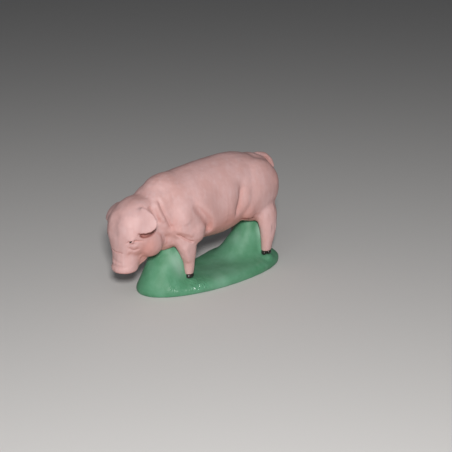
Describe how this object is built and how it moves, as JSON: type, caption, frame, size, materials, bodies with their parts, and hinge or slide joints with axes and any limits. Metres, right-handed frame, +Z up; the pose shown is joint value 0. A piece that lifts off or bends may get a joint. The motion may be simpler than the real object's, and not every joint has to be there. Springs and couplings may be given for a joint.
{
  "type": "painted clay pig figurine",
  "caption": "Small painted clay pig walking with its head down, on an oval green base with clay mounds filling the space between its legs.",
  "frame": {"origin": "on the flat underside of the base, below the pig's mid-plane and near the middle of the base", "axes": "+Z up, -Y the way the pig faces, +X the pig's left side"},
  "size_m": [0.0244, 0.0659, 0.0384],
  "materials": {
    "pink_paint": "hand-brushed matte pink paint on fired clay",
    "green_paint": "hand-brushed satin green paint on fired clay",
    "black_paint": "satin black paint on fired clay"
  },
  "bodies": {
    "root": {"head": "pink_paint", "ear_left": "pink_paint", "ear_right": "pink_paint", "eye_left": "black_paint", "eye_right": "black_paint", "neck": "pink_paint", "trunk": "pink_paint", "tail": "pink_paint", "leg_front_left": "pink_paint", "leg_front_right": "pink_paint", "leg_hind_left": "pink_paint", "leg_hind_right": "pink_paint", "hoof_front_left": "black_paint", "hoof_front_right": "black_paint", "hoof_hind_left": "black_paint", "hoof_hind_right": "black_paint", "base": "green_paint", "mound_front": "green_paint", "mound_hind": "green_paint"}
  },
  "joints": []
}
